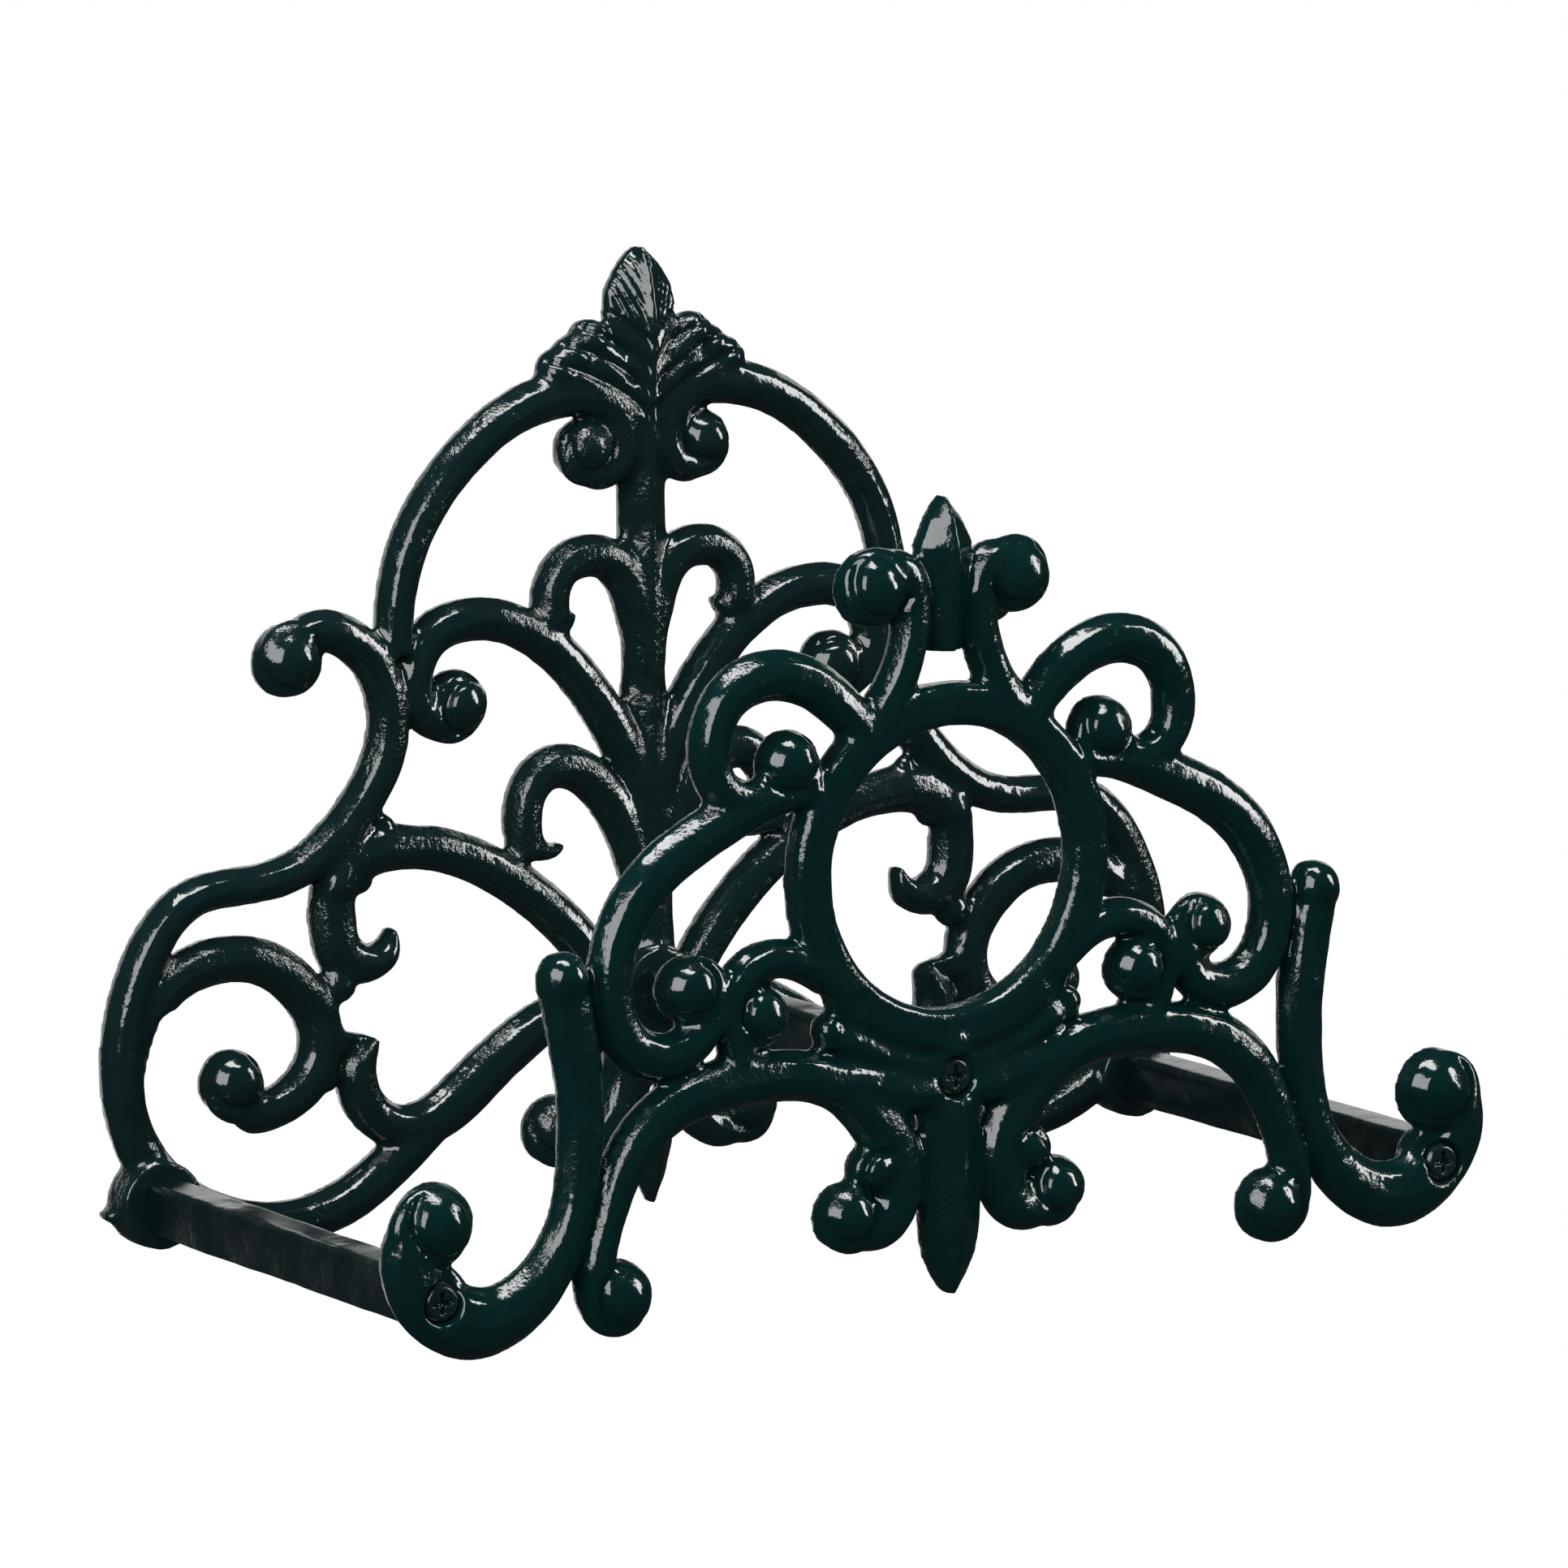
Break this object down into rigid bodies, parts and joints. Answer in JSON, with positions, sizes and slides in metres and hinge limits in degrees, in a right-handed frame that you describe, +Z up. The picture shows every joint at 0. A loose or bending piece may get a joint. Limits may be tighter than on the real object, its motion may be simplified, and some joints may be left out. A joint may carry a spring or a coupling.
{
  "type": "hose hanger",
  "caption": "Cast scrollwork hose hanger: a back plate for the wall and a front plate with upturned hooks, held apart by bars that a coiled hose rests on.",
  "frame": {"origin": "on the wall face, midway between the two wall screw holes, which is also on the axis of the centre screws", "axes": "+X to the right seen from the front, +Y into the wall, +Z up"},
  "size_m": [0.3734, 0.1777, 0.288],
  "materials": {
    "enamel": "gloss",
    "screw_enamel": "gloss"
  },
  "bodies": {
    "root": {"back_plate": "enamel", "front_plate": "enamel", "left_bar": "enamel", "left_front_screw": "screw_enamel", "left_back_screw": "screw_enamel", "centre_bar": "enamel", "centre_front_screw": "screw_enamel", "centre_back_screw": "screw_enamel", "right_bar": "enamel", "right_front_screw": "screw_enamel", "right_back_screw": "screw_enamel"}
  },
  "joints": []
}
